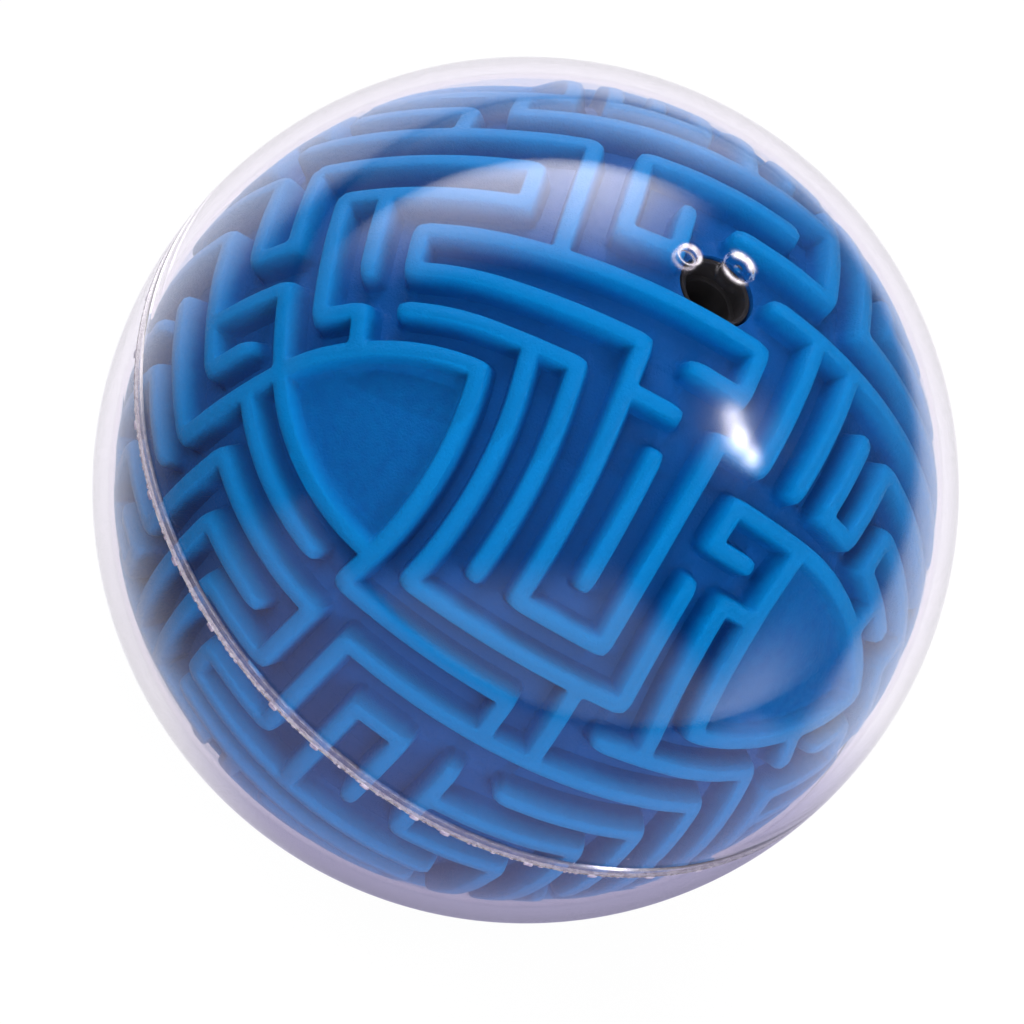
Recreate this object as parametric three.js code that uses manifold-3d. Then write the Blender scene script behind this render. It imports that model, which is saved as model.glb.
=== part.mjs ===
// Hand-held tilt maze: a clear two-part shell closed round a blue maze ball, with a steel ball loose in its channels.
// Millimetres, +Z up, origin at the centre of the ball. Both parting planes lie in z = 0, both cups on the Z axis.

import * as THREE from 'three';
import { mergeVertices } from 'three/addons/utils/BufferGeometryUtils.js';
import Module from 'manifold-3d';

const wasm = await Module();
wasm.setup();

// ---------------------------------------------------------------- driving dimensions

const PARTING_GAP = 0.3;

// Clear shell. The inner radius is that of the facet corners; the middles of the facets come in to 47.8.
const SHELL_R = 50;
const SHELL_INNER_R = 48.3;
const SHELL_SEGMENTS = 32;
const SHELL_RINGS = 8;
const TONGUE_OUTER_R = 49;
const TONGUE_TOP_Z = 1.5;
const REBATE_R = 49.3;
const REBATE_TOP_Z = 1.9;
const GATE_R = 2.15;
const GATE_DEPTH = 0.5;
const GATE_NUB_R = 0.55;
const PIP_R = 1.5;
const PIP_DEPTH = 0.4;
const PIP_X = 1.7;
const PIP_Y = -5.8;

// Maze ball. The walls are slightly wider at the foot than at the top.
const WALL_TOP_R = 47.5;
const FLOOR_R = 44.5;
const ISLAND_R = 45.7;
const WALL_TOP_WIDTH = 2.0;
const WALL_FOOT_WIDTH = 2.2;
const MAZE_INNER_R = 41.5;
const MAZE_INNER_SEGMENTS = 24;
const MAZE_INNER_RINGS = 5;
const LIP_OUTER_R = 40.3;
const LIP_INNER_R = 38.8;
const LIP_TOP_Z = 4;
const LIP_ROOT_R = 42.2;
const LIP_ROOT_Z = -5;

// Cups at the two poles of the maze ball.
const CUP_HOLE_R = 4.6;
const CUP_OUTER_R = 4.3;
const CUP_MOUTH_R = 3.7;
const CUP_BORE_R = 3.2;
const CUP_FLANGE_R = 6.6;
const CUP_RIM_Z = 44.1;
const CUP_STEP_Z = 41.6;
const CUP_FLANGE_TOP_Z = 39.6;
const CUP_FLANGE_BOTTOM_Z = 38.4;
const CUP_FLOOR_Z = 36.6;
const CUP_BOTTOM_Z = 35.4;
const CUP_SEGMENTS = 20;

// Steel ball, resting midway along one straight channel of the bottom face.
const BALL_R = 1.25;
const BALL_CLEARANCE = 0.3;
const BALL_CHANNEL = 2.5;

// Maze lattice. It is drawn on a cube with rounded edges and thrown outwards onto the sphere. Each flat face is
// 8 cells square and each rounded edge is 5 cells round, so that all cells have one size on the rounded cube.
const HALF_FACE = 4;
const EDGE_CELLS = 5;
const NEXT_FACE = HALF_FACE + EDGE_CELLS;
const NEXT_CENTRE = NEXT_FACE + HALF_FACE;
const CELL = (Math.PI / 2) / (EDGE_CELLS + HALF_FACE * Math.PI / 2);
const FLAT = HALF_FACE * CELL;
const ROUND = 1 - FLAT;
// The line in the parting plane is lifted by this share of a cell, so that its walls belong to the upper half.
const PARTING_LINE_LIFT = 0.18;
// Growth of the walls that the layout leaves open: seed, and how often a growing wall keeps its course.
const GROWTH_SEED = 7;
const STRAIGHT_SHARE = 0.75;

// ---------------------------------------------------------------- maze layout

// A band starts on one face of the cube and runs over an edge onto the next. A point in it is
// [cells along, cells across]: along counts from the middle of the first face (0) to the middle of the next (13),
// across counts from the band's centre line towards the third direction named.
const FRONT_WALLS = [
  {
    band: ['Z', 'X', 'Y'],
    runs: [
      [[0, 1], [0, 4]],
      [[0, 3], [3, 3]],
      [[0, 2], [3, 2], [3, 1], [8, 1], [8, -1], [2, -1], [2, -4]],
      [[1, 1], [2, 1], [2, 0]],
      [[1, 1], [1, -4]],
      [[3, -1], [3, 0]],
      [[1, 4], [3, 4]],
      [[-1, 0], [-1, 2], [-3, 2]],
      [[-2, 1], [-2, -2], [0, -2], [0, -1], [-1, -1]],
      [[-2, -4], [-2, -3], [1, -3]],
      [[-3, 2], [-3, -4]],
      [[3, -4], [3, -2], [8, -2]],
      [[3, -3], [9, -3], [9, 2], [6, 2]],
      [[4, 0], [7, 0]],
      [[4, 4], [4, 2], [5, 2], [5, 3]],
      [[6, 4], [6, 3], [10, 3]],
      [[9, 1], [11, 1]],
      [[10, 4], [10, 2]],
      [[11, 4], [11, -3], [14, -3], [14, -4]],
      [[9, -4], [10, -4], [10, 0], [11, 0]],
      [[14, -1], [12, -1], [12, -2], [15, -2]],
      [[12, 1], [12, 4]],
      [[12, 0], [13, 0], [13, 3], [17, 3]],
      [[13, 0], [14, 0], [14, 2], [17, 2]],
      [[15, 1], [15, -4]],
    ],
  },
  {
    band: ['Z', '-Y', 'X'],
    runs: [
      [[4, 1], [6, 1], [6, 2], [4, 2]],
      [[2, 3], [6, 3]],
      [[7, 4], [7, 3], [8, 3], [8, 0], [4, 0], [4, -1], [9, -1], [9, 1], [10, 1], [10, -1], [13, -1]],
      [[7, 0], [7, 2]],
      [[3, -2], [10, -2]],
      [[6, -2], [6, -3], [9, -3]],
      [[4, -3], [5, -3], [5, -4]],
      [[9, 4], [12, 4], [12, 1]],
      [[9, 4], [9, 2], [11, 2]],
      [[10, 3], [11, 3], [11, 0], [13, 0]],
    ],
  },
  {
    band: ['X', '-Y', 'Z'],
    runs: [
      [[8, 2], [4, 2], [4, 0], [6, 0], [6, -4]],
      [[5, 1], [7, 1], [7, -4]],
      [[8, 2], [8, -1], [10, -1]],
      [[4, -1], [5, -1], [5, -2], [4, -2]],
      [[5, 3], [9, 3]],
    ],
  },
  {
    band: ['X', 'Y', 'Z'],
    runs: [
      [[4, 2], [5, 2], [5, -4]],
      [[3, 3], [6, 3], [6, -4]],
      [[4, 1], [4, -2]],
      [[7, 4], [7, 3]],
    ],
  },
  {
    band: ['Z', 'Y', 'X'],
    runs: [
      [[4, 0], [9, 0]],
      [[4, 1], [4, 3], [5, 3], [5, 1], [9, 1]],
      [[11, 3], [9, 3], [9, 2], [6, 2], [6, 3], [7, 3], [7, 4]],
      [[2, -1], [2, -4]],
      [[3, -4], [3, -1], [9, -1]],
    ],
  },
];

// Crossings that no wall touches: the cups' openings and a few wide places in the channels.
const OPEN_CROSSINGS = [
  { band: ['Z', 'X', 'Y'], at: [0, 0] },
  { band: ['X', 'Y', 'Z'], at: [-1, -2] },
  { band: ['X', 'Y', 'Z'], at: [-4, -1] },
  { band: ['X', 'Y', 'Z'], at: [1, -1] },
  { band: ['X', 'Y', 'Z'], at: [2, -1] },
];

// ---------------------------------------------------------------- lattice

const AXES = {
  X: new THREE.Vector3(1, 0, 0),
  Y: new THREE.Vector3(0, 1, 0),
  Z: new THREE.Vector3(0, 0, 1),
  '-X': new THREE.Vector3(-1, 0, 0),
  '-Y': new THREE.Vector3(0, -1, 0),
  '-Z': new THREE.Vector3(0, 0, -1),
};

const FACE_BANDS = [
  ['Z', 'X', 'Y'], ['-Z', 'X', 'Y'], ['X', 'Y', 'Z'],
  ['-X', 'Y', 'Z'], ['Y', 'Z', 'X'], ['-Y', 'Z', 'X'],
];

const EDGE_BANDS = [
  ['Z', 'X', 'Y'], ['Z', '-X', 'Y'], ['Z', 'Y', 'X'], ['Z', '-Y', 'X'],
  ['-Z', 'X', 'Y'], ['-Z', '-X', 'Y'], ['-Z', 'Y', 'X'], ['-Z', '-Y', 'X'],
  ['X', 'Y', 'Z'], ['X', '-Y', 'Z'], ['-X', 'Y', 'Z'], ['-X', '-Y', 'Z'],
];

// Point of the rounded cube (half size 1) at a lattice position of a band.
function roundedCubePoint(band, along, across) {
  const [from, to, side] = band.map((name) => AXES[name]);
  const turn = THREE.MathUtils.clamp((along - HALF_FACE) / EDGE_CELLS, 0, 1) * Math.PI / 2;
  const towards = along < HALF_FACE ? along * CELL : FLAT + ROUND * Math.sin(turn);
  const upright = along > NEXT_FACE ? (NEXT_CENTRE - along) * CELL : FLAT + ROUND * Math.cos(turn);
  return new THREE.Vector3()
    .addScaledVector(from, upright)
    .addScaledVector(to, towards)
    .addScaledVector(side, across * CELL);
}

function pointKey(point) {
  return point.toArray().map((value) => Math.round(value * 1000) + 0).join(',');
}

// Posts stand at the lattice crossings, cells lie between them. A cell's loop names its posts, anticlockwise
// as seen from outside. The eight corners of the cube are single many-sided cells: the islands.
function makeLattice() {
  const posts = [];
  const postAt = new Map();
  const cells = [];

  function post(band, along, across) {
    const point = roundedCubePoint(band, along, across);
    const key = pointKey(point);
    if (!postAt.has(key)) {
      const inPartingPlane = Math.abs(point.z) < CELL / 10;
      if (inPartingPlane) point.z = PARTING_LINE_LIFT * CELL;
      postAt.set(key, posts.length);
      posts.push({ direction: point.normalize() });
    }
    return postAt.get(key);
  }

  function addCell(loop, island) {
    const corners = loop.map((index) => posts[index].direction);
    const middle = new THREE.Vector3();
    corners.forEach((corner) => middle.add(corner));
    middle.normalize();
    const normal = new THREE.Vector3().crossVectors(
      corners[1].clone().sub(corners[0]),
      corners[2].clone().sub(corners[1]),
    );
    const anticlockwise = island || normal.dot(middle) > 0;
    cells.push({ loop: anticlockwise ? loop : [...loop].reverse(), island, middle });
  }

  function addPatch(band, firstAlong, lastAlong) {
    for (let along = firstAlong; along < lastAlong; along += 1) {
      for (let across = -HALF_FACE; across < HALF_FACE; across += 1) {
        const loop = [
          post(band, along, across),
          post(band, along + 1, across),
          post(band, along + 1, across + 1),
          post(band, along, across + 1),
        ];
        addCell(loop, false);
      }
    }
  }

  // The island's rim posts, sorted by their angle round the cube's diagonal.
  function addIsland(x, y, z) {
    const diagonal = new THREE.Vector3(x, y, z).normalize();
    const reference = new THREE.Vector3(0, 0, z).projectOnPlane(diagonal).normalize();
    const sideways = new THREE.Vector3().crossVectors(diagonal, reference);
    const nameX = x > 0 ? 'X' : '-X';
    const nameY = y > 0 ? 'Y' : '-Y';
    const nameZ = z > 0 ? 'Z' : '-Z';
    const rims = [
      [[nameZ, nameX, 'Y'], y], [[nameZ, nameY, 'X'], x], [[nameX, nameY, 'Z'], z],
    ];
    const rimPosts = new Set();
    rims.forEach(([band, side]) => {
      for (let along = HALF_FACE; along <= NEXT_FACE; along += 1) {
        rimPosts.add(post(band, along, side * HALF_FACE));
      }
    });
    const angleOf = (index) => {
      const { direction } = posts[index];
      return Math.atan2(direction.dot(sideways), direction.dot(reference));
    };
    const loop = [...rimPosts].sort((a, b) => angleOf(a) - angleOf(b));
    addCell(loop, true);
  }

  FACE_BANDS.forEach((band) => addPatch(band, -HALF_FACE, HALF_FACE));
  EDGE_BANDS.forEach((band) => addPatch(band, HALF_FACE, NEXT_FACE));
  [-1, 1].forEach((x) => [-1, 1].forEach((y) => [-1, 1].forEach((z) => addIsland(x, y, z))));
  return { posts, cells, post };
}

function edgeKey(a, b) {
  return a < b ? `${a}-${b}` : `${b}-${a}`;
}

// Half a turn about Y carries the front of the maze onto its back.
function turnedBand(band) {
  const halfTurn = { X: '-X', '-X': 'X', Z: '-Z', '-Z': 'Z', Y: 'Y', '-Y': '-Y' };
  return band.map((name) => halfTurn[name]);
}

// Marks every lattice edge that carries a wall.
function layWalls(lattice) {
  const walls = new Set();

  function layRun(band, run) {
    for (let i = 1; i < run.length; i += 1) {
      const [alongA, acrossA] = run[i - 1];
      const [alongB, acrossB] = run[i];
      const steps = Math.max(Math.abs(alongB - alongA), Math.abs(acrossB - acrossA));
      const stepAlong = (alongB - alongA) / steps;
      const stepAcross = (acrossB - acrossA) / steps;
      for (let step = 0; step < steps; step += 1) {
        const start = lattice.post(band, alongA + stepAlong * step, acrossA + stepAcross * step);
        const end = lattice.post(band, alongA + stepAlong * (step + 1), acrossA + stepAcross * (step + 1));
        walls.add(edgeKey(start, end));
      }
    }
  }

  FRONT_WALLS.forEach(({ band, runs }) => {
    runs.forEach((run) => {
      layRun(band, run);
      layRun(turnedBand(band), run);
    });
  });

  lattice.cells.filter((cell) => cell.island).forEach(({ loop }) => {
    loop.forEach((index, i) => walls.add(edgeKey(index, loop[(i + 1) % loop.length])));
  });
  return walls;
}

// Repeatable stand-in for a random number, from 0 to 1.
function makeRandom(seed) {
  let state = seed;
  return () => {
    state = (state * 48271) % 2147483647;
    return state / 2147483647;
  };
}

// Where the drawn runs leave crossings bare, walls grow out from the laid ones, one crossing at a time. A wall
// that ends on a bare crossing can't close a channel off, so every cell of the maze stays within reach.
function growWalls(lattice, walls) {
  const neighbours = lattice.posts.map(() => new Set());
  lattice.cells.forEach(({ loop }) => loop.forEach((index, i) => {
    const next = loop[(i + 1) % loop.length];
    neighbours[index].add(next);
    neighbours[next].add(index);
  }));
  const walled = new Set();
  walls.forEach((key) => key.split('-').forEach((index) => walled.add(Number(index))));
  const open = new Set();
  OPEN_CROSSINGS.forEach(({ band, at: [along, across] }) => {
    open.add(lattice.post(band, along, across));
    open.add(lattice.post(turnedBand(band), along, across));
  });
  const random = makeRandom(GROWTH_SEED);
  const growing = [...walled];
  while (growing.length > 0) {
    const keepStraight = random() < STRAIGHT_SHARE;
    const slot = keepStraight ? growing.length - 1 : Math.floor(random() * growing.length);
    const from = growing[slot];
    const free = [...neighbours[from]].filter((index) => !walled.has(index) && !open.has(index));
    if (free.length === 0) {
      growing.splice(slot, 1);
    } else {
      const heading = lattice.posts[from].heading ?? new THREE.Vector3();
      const ahead = (index) => lattice.posts[index].direction.clone().sub(lattice.posts[from].direction);
      free.sort((a, b) => ahead(b).dot(heading) - ahead(a).dot(heading));
      const to = keepStraight ? free[0] : free[Math.floor(random() * free.length)];
      lattice.posts[to].heading = ahead(to);
      walls.add(edgeKey(from, to));
      walled.add(to);
      growing.push(to);
    }
  }
}

// ---------------------------------------------------------------- maze surface

// Offsets a cell's corner from its post by half a wall, so that walls keep one width all over the sphere.
function insetDirection(lattice, cell, i, width, radius) {
  const { loop } = cell;
  const at = lattice.posts[loop[i]].direction;
  const before = lattice.posts[loop[(i + loop.length - 1) % loop.length]].direction;
  const after = lattice.posts[loop[(i + 1) % loop.length]].direction;
  const back = before.clone().projectOnPlane(at).normalize();
  const on = after.clone().projectOnPlane(at).normalize();
  const inward = new THREE.Vector3().crossVectors(at, on.clone().sub(back)).normalize();
  const miter = (width / 2) / Math.sin(on.angleTo(back) / 2);
  return at.clone().addScaledVector(inward, miter / radius).normalize();
}

// Closed surface of the whole ball: wall tops, channel floors, islands and the upright faces between them.
function mazeSurface() {
  const lattice = makeLattice();
  const walls = layWalls(lattice);
  growWalls(lattice, walls);
  const { posts, cells } = lattice;

  const levels = {
    floor: { radius: FLOOR_R, width: WALL_FOOT_WIDTH },
    island: { radius: ISLAND_R, width: (WALL_FOOT_WIDTH + WALL_TOP_WIDTH) / 2 },
    top: { radius: WALL_TOP_R, width: WALL_TOP_WIDTH },
  };
  const cellLeftOf = new Map();
  cells.forEach((cell, index) => cell.loop.forEach((from, i) => {
    cellLeftOf.set(`${from}>${cell.loop[(i + 1) % cell.loop.length]}`, index);
  }));
  const isWall = (a, b) => walls.has(edgeKey(a, b));

  // Spokes of a post, anticlockwise: the post at the far end of each lattice edge and the cell that follows it.
  function spokesOf(post, firstCell) {
    const spokes = [];
    let cell = firstCell;
    do {
      const { loop } = cells[cell];
      const i = loop.indexOf(post);
      const far = loop[(i + 1) % loop.length];
      const before = loop[(i + loop.length - 1) % loop.length];
      spokes.push({ far, cell });
      cell = cellLeftOf.get(`${post}>${before}`);
    } while (cell !== firstCell);
    return spokes;
  }

  const cornerDirections = new Map();
  const cornerKey = (post, cell, level) => `${post}/${cell}/${level}`;

  // Two corners on the straight side of a wall, either side of an open edge, become one.
  function mergeAcross(post, spokes, i) {
    const { far, cell } = spokes[i];
    const previous = spokes[(i + spokes.length - 1) % spokes.length];
    const next = spokes[(i + 1) % spokes.length];
    const straight = !isWall(post, far) && isWall(post, previous.far) && isWall(post, next.far);
    if (!straight) return;
    Object.entries(levels).forEach(([level, { radius, width }]) => {
      const at = posts[post].direction;
      const wallLine = posts[next.far].direction.clone().sub(posts[previous.far].direction);
      const aside = new THREE.Vector3().crossVectors(wallLine, at).normalize();
      const outwards = Math.sign(aside.dot(posts[far].direction.clone().sub(at)));
      const merged = at.clone().addScaledVector(aside, outwards * width / 2 / radius).normalize();
      cornerDirections.set(cornerKey(post, cell, level), merged);
      cornerDirections.set(cornerKey(post, previous.cell, level), merged);
    });
  }

  const spokesAt = posts.map(() => null);
  cells.forEach((cell, index) => cell.loop.forEach((post, i) => {
    if (!spokesAt[post]) spokesAt[post] = spokesOf(post, index);
    Object.entries(levels).forEach(([level, { radius, width }]) => {
      cornerDirections.set(cornerKey(post, index, level), insetDirection(lattice, cell, i, width, radius));
    });
  }));
  spokesAt.forEach((spokes, post) => {
    const bare = spokes.every(({ far }) => !isWall(post, far));
    posts[post].raised = !bare;
    spokes.forEach((spoke, i) => {
      if (bare) cornerDirections.set(cornerKey(post, spoke.cell, 'floor'), posts[post].direction);
      else mergeAcross(post, spokes, i);
    });
  });

  const positions = [];
  const corner = (post, cell, level) => (
    cornerDirections.get(cornerKey(post, cell, level)).clone().multiplyScalar(levels[level].radius)
  );
  function addPolygon(points) {
    for (let i = 2; i < points.length; i += 1) {
      [points[0], points[i - 1], points[i]].forEach((point) => positions.push(...point.toArray()));
    }
  }
  // Upright face below an edge that runs from post a in cell `cellA` to post b in cell `cellB`.
  function addRiser(a, cellA, b, cellB, low, high) {
    if (low === high) return;
    addPolygon([corner(b, cellB, low), corner(a, cellA, low), corner(a, cellA, high), corner(b, cellB, high)]);
  }

  cells.forEach(({ loop, island, middle }, cell) => {
    const level = island ? 'island' : 'floor';
    const ring = loop.map((post) => corner(post, cell, level));
    if (island) {
      const centre = middle.clone().multiplyScalar(ISLAND_R);
      ring.forEach((point, i) => addPolygon([centre, point, ring[(i + 1) % ring.length]]));
    } else {
      addPolygon(ring);
    }
    loop.forEach((post, i) => {
      const far = loop[(i + 1) % loop.length];
      const other = cellLeftOf.get(`${far}>${post}`);
      const edgeLevel = isWall(post, far) ? 'top' : 'floor';
      addRiser(post, cell, far, cell, level, edgeLevel);
      if (post < far) {
        addPolygon([
          corner(far, cell, edgeLevel), corner(post, cell, edgeLevel),
          corner(post, other, edgeLevel), corner(far, other, edgeLevel),
        ]);
      }
      const postLevel = posts[post].raised ? 'top' : 'floor';
      addRiser(post, cell, post, other, edgeLevel, postLevel);
    });
  });
  spokesAt.forEach((spokes, post) => {
    const level = posts[post].raised ? 'top' : 'floor';
    addPolygon(spokes.map(({ cell }) => corner(post, cell, level)));
  });
  const surface = new THREE.BufferGeometry();
  surface.setAttribute('position', new THREE.Float32BufferAttribute(positions, 3));
  surface.setIndex([...Array(positions.length / 3).keys()]);
  return surface;
}

// ---------------------------------------------------------------- solids

const WELD_DISTANCE = 1e-4;

// Closed solid from a geometry: equal corners are joined, and faces that this flattens to nothing are dropped.
function toSolid(geometry) {
  const bare = geometry.clone();
  bare.deleteAttribute('normal');
  bare.deleteAttribute('uv');
  const welded = mergeVertices(bare, WELD_DISTANCE);
  const index = welded.index.array;
  const triangles = [];
  for (let i = 0; i < index.length; i += 3) {
    const [a, b, c] = [index[i], index[i + 1], index[i + 2]];
    if (a !== b && b !== c && c !== a) triangles.push(a, b, c);
  }
  const mesh = new wasm.Mesh({
    numProp: 3,
    vertProperties: new Float32Array(welded.attributes.position.array),
    triVerts: new Uint32Array(triangles),
  });
  return new wasm.Manifold(mesh);
}

function toGeometry(solid) {
  const mesh = solid.getMesh();
  const geometry = new THREE.BufferGeometry();
  geometry.setAttribute('position', new THREE.Float32BufferAttribute(mesh.vertProperties, 3));
  geometry.setIndex([...mesh.triVerts]);
  geometry.computeVertexNormals();
  return geometry;
}

// Turned solid about the Z axis from [radius, z] corners, listed anticlockwise in the plane of radius and z.
function turned(profile, segments) {
  const points = profile.map(([radius, z]) => new THREE.Vector2(radius, z));
  return toSolid(new THREE.LatheGeometry(points, segments).rotateX(Math.PI / 2));
}

// Corners [radius, z] along a circle round the origin, from one height down to another.
function arcDown(radius, topZ, bottomZ, steps) {
  const topAngle = Math.acos(topZ / radius);
  const bottomAngle = Math.acos(bottomZ / radius);
  const corners = [];
  for (let step = 0; step <= steps; step += 1) {
    const angle = topAngle + (bottomAngle - topAngle) * step / steps;
    corners.push([radius * Math.sin(angle), radius * Math.cos(angle)]);
  }
  return corners;
}

// Block that fills everything above (side 1) or below (side -1) a height.
function halfSpace(side, z) {
  const size = 3 * SHELL_R;
  return toSolid(new THREE.BoxGeometry(size, size, size).translate(0, 0, z + side * size / 2));
}

function heightOnSphere(sphereR, radius) {
  return Math.sqrt(sphereR * sphereR - radius * radius);
}

// ---------------------------------------------------------------- sub-parts

// Outside of a shell half from the pole to the parting plane, with the sprue mark sunk into the pole.
function shellOutside() {
  const dimpleZ = SHELL_R - GATE_DEPTH;
  return [
    [0, SHELL_R],
    [GATE_NUB_R, SHELL_R],
    [GATE_NUB_R, dimpleZ],
    [GATE_R, dimpleZ],
    ...arcDown(SHELL_R, heightOnSphere(SHELL_R, GATE_R), 0, SHELL_RINGS).slice(0, -1),
    [SHELL_R, PARTING_GAP / 2],
  ];
}

function mirrored(profile) {
  return profile.map(([radius, z]) => [radius, -z]).reverse();
}

function shellUpper() {
  const inside = arcDown(SHELL_INNER_R, SHELL_INNER_R, REBATE_TOP_Z, SHELL_RINGS).reverse();
  inside[inside.length - 1][0] = 0;
  const profile = [
    ...shellOutside(),
    [REBATE_R, PARTING_GAP / 2],
    [REBATE_R, REBATE_TOP_Z],
    ...inside,
  ];
  const pip = new THREE.CylinderGeometry(PIP_R, PIP_R, 2 * PIP_DEPTH, 16).rotateX(Math.PI / 2);
  const outward = new THREE.Vector3(PIP_X, PIP_Y, heightOnSphere(SHELL_R, Math.hypot(PIP_X, PIP_Y)));
  const turn = new THREE.Quaternion().setFromUnitVectors(AXES.Z, outward.clone().normalize());
  pip.applyQuaternion(turn).translate(...outward.toArray());
  return turned(profile.reverse(), SHELL_SEGMENTS).subtract(toSolid(pip));
}

function shellLower() {
  const inside = arcDown(SHELL_INNER_R, SHELL_INNER_R, 0, SHELL_RINGS);
  inside[0][0] = 0;
  const profile = [
    ...mirrored(inside).reverse().slice(0, -1),
    [SHELL_INNER_R, TONGUE_TOP_Z],
    [TONGUE_OUTER_R, TONGUE_TOP_Z],
    [TONGUE_OUTER_R, -PARTING_GAP / 2],
    ...mirrored(shellOutside()),
  ];
  return turned(profile.reverse(), SHELL_SEGMENTS);
}

function mazeInside() {
  const upper = arcDown(MAZE_INNER_R, MAZE_INNER_R, 0, MAZE_INNER_RINGS);
  upper[0][0] = 0;
  const profile = [...upper, ...mirrored(upper).slice(1)];
  return turned(profile.reverse(), MAZE_INNER_SEGMENTS);
}

function cupHole() {
  const height = SHELL_R;
  const hole = new THREE.CylinderGeometry(CUP_HOLE_R, CUP_HOLE_R, height, CUP_SEGMENTS);
  return toSolid(hole.rotateX(Math.PI / 2).translate(0, 0, CUP_BOTTOM_Z + height / 2));
}

function mazeUpper(ball, inside, hole) {
  return ball.intersect(halfSpace(1, PARTING_GAP / 2)).subtract(inside).subtract(hole);
}

// The lower half carries a lip that locates the upper half.
function mazeLower(ball, inside, hole) {
  const lip = turned([
    [LIP_INNER_R, LIP_ROOT_Z],
    [LIP_ROOT_R, LIP_ROOT_Z],
    [LIP_ROOT_R, -PARTING_GAP / 2],
    [LIP_OUTER_R, -PARTING_GAP / 2],
    [LIP_OUTER_R, LIP_TOP_Z],
    [LIP_INNER_R, LIP_TOP_Z],
    [LIP_INNER_R, LIP_ROOT_Z],
  ], MAZE_INNER_SEGMENTS);
  const lowerHole = hole.rotate([180, 0, 0]);
  return ball.intersect(halfSpace(-1, -PARTING_GAP / 2)).subtract(inside).subtract(lowerHole).add(lip);
}

function cup() {
  return turned([
    [0, CUP_BOTTOM_Z],
    [CUP_OUTER_R, CUP_BOTTOM_Z],
    [CUP_OUTER_R, CUP_FLANGE_BOTTOM_Z],
    [CUP_FLANGE_R, CUP_FLANGE_BOTTOM_Z],
    [CUP_FLANGE_R, CUP_FLANGE_TOP_Z],
    [CUP_OUTER_R, CUP_FLANGE_TOP_Z],
    [CUP_OUTER_R, CUP_RIM_Z],
    [CUP_MOUTH_R, CUP_RIM_Z],
    [CUP_MOUTH_R, CUP_STEP_Z],
    [CUP_BORE_R, CUP_STEP_Z],
    [CUP_BORE_R, CUP_FLOOR_Z],
    [0, CUP_FLOOR_Z],
  ], CUP_SEGMENTS);
}

function steelBall() {
  const channel = new THREE.Vector3(BALL_CHANNEL * CELL, 0, -1).normalize();
  const centreR = FLOOR_R + BALL_CLEARANCE + BALL_R;
  const ball = new THREE.SphereGeometry(BALL_R, 16, 10);
  return toSolid(ball.translate(...channel.multiplyScalar(centreR).toArray()));
}

// ---------------------------------------------------------------- materials

function clearPlastic() {
  return new THREE.MeshStandardMaterial({
    color: 0xeaf0f6, roughness: 0.06, metalness: 0, transparent: true, opacity: 0.3,
  });
}

function bluePlastic() {
  return new THREE.MeshStandardMaterial({ color: 0x0f6fc0, roughness: 0.42, metalness: 0 });
}

function blackPlastic() {
  return new THREE.MeshStandardMaterial({ color: 0x0b0b0e, roughness: 0.55, metalness: 0 });
}

function polishedSteel() {
  return new THREE.MeshStandardMaterial({ color: 0xc9cdd2, roughness: 0.15, metalness: 1 });
}

// ---------------------------------------------------------------- assembly

function part(name, solid, material) {
  const mesh = new THREE.Mesh(toGeometry(solid), material);
  mesh.name = name;
  return mesh;
}

const ball = toSolid(mazeSurface());
const inside = mazeInside();
const hole = cupHole();
const lowerCup = part('cup_lower', cup(), blackPlastic());
lowerCup.rotation.x = Math.PI;

const game = new THREE.Group();
game.name = 'tilt_maze';
game.add(
  part('shell_upper', shellUpper(), clearPlastic()),
  part('shell_lower', shellLower(), clearPlastic()),
  part('maze_upper', mazeUpper(ball, inside, hole), bluePlastic()),
  part('maze_lower', mazeLower(ball, inside, hole), bluePlastic()),
  part('cup_upper', cup(), blackPlastic()),
  lowerCup,
  part('steel_ball', steelBall(), polishedSteel()),
);

export default game;
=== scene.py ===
"""Hand-held tilt maze: a clear two-part shell round a blue maze, two black cups and a loose steel ball.

Everything is in metres in the row frame. Lengths that are thought of in millimetres are written as N * MM.
The walls of the fine maze are read from the CAD maze. This script makes them round and smooth.
"""

import math

import bmesh
import bpy
import numpy as np
from mathutils import Matrix, Vector
from mathutils.bvhtree import BVHTree


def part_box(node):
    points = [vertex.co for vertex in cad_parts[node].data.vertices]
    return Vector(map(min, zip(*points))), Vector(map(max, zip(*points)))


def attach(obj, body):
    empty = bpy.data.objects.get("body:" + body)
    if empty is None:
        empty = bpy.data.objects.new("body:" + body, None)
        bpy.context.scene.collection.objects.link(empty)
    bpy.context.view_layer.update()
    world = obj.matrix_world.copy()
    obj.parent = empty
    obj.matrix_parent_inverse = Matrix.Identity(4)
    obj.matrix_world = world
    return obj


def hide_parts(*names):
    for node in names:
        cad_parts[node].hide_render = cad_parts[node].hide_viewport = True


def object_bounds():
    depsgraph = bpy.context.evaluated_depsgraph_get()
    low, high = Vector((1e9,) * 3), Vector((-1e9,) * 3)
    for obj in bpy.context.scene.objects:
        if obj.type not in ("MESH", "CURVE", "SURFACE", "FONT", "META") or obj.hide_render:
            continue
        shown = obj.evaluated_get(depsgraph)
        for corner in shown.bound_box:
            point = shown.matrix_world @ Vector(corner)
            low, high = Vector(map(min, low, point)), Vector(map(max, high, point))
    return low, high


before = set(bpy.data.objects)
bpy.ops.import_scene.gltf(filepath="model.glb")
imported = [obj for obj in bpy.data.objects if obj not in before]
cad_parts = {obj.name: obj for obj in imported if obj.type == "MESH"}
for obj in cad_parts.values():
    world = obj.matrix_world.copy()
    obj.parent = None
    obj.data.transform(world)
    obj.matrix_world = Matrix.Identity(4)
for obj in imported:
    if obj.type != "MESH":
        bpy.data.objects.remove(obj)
CAD_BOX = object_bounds()

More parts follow.
